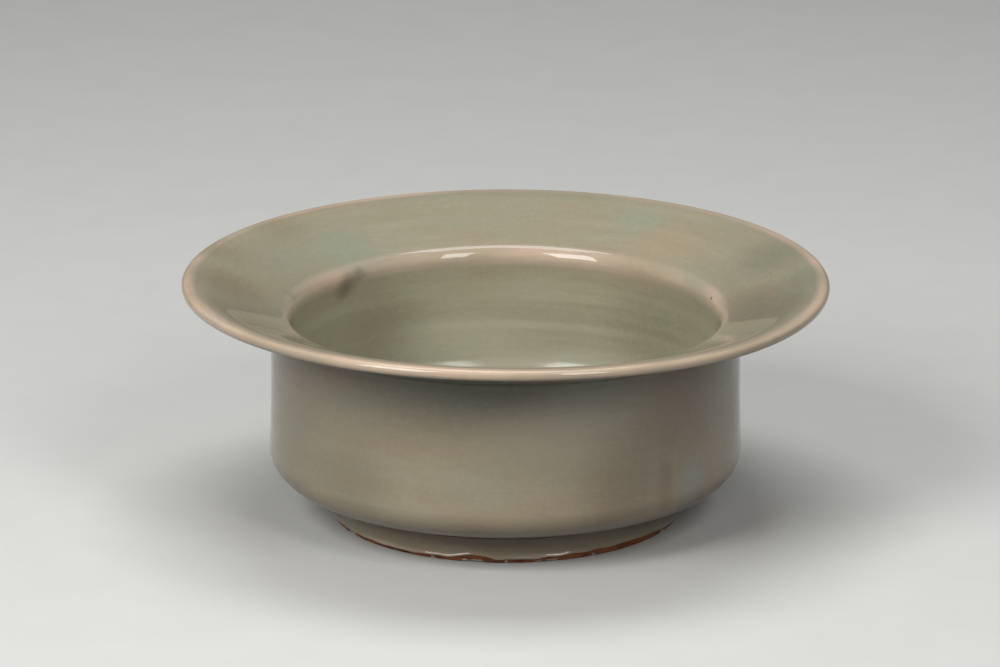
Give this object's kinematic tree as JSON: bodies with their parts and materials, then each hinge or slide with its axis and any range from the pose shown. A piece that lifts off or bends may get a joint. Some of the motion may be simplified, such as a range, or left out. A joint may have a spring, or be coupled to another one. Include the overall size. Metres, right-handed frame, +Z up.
{
  "type": "rimmed ceramic basin",
  "caption": "Wheel-thrown glazed stoneware basin with straight walls, a broad everted rim, rounded lower edge and a low turned foot ring.",
  "frame": {"origin": "centre of the circle that the foot ring stands on, at table level", "axes": "+Z up along the axis that the basin was turned about, through the open mouth"},
  "size_m": [0.24, 0.24, 0.0895],
  "materials": {
    "burnt_stoneware": "bare fired clay, matt, burnt orange-brown",
    "celadon_glaze": "glossy grey-green celadon glaze, paler where it pulls thin"
  },
  "bodies": {
    "root": {"stoneware_body": "burnt_stoneware", "glaze_inside": "celadon_glaze", "glaze_outside": "celadon_glaze", "glaze_recess": "celadon_glaze"}
  },
  "joints": []
}
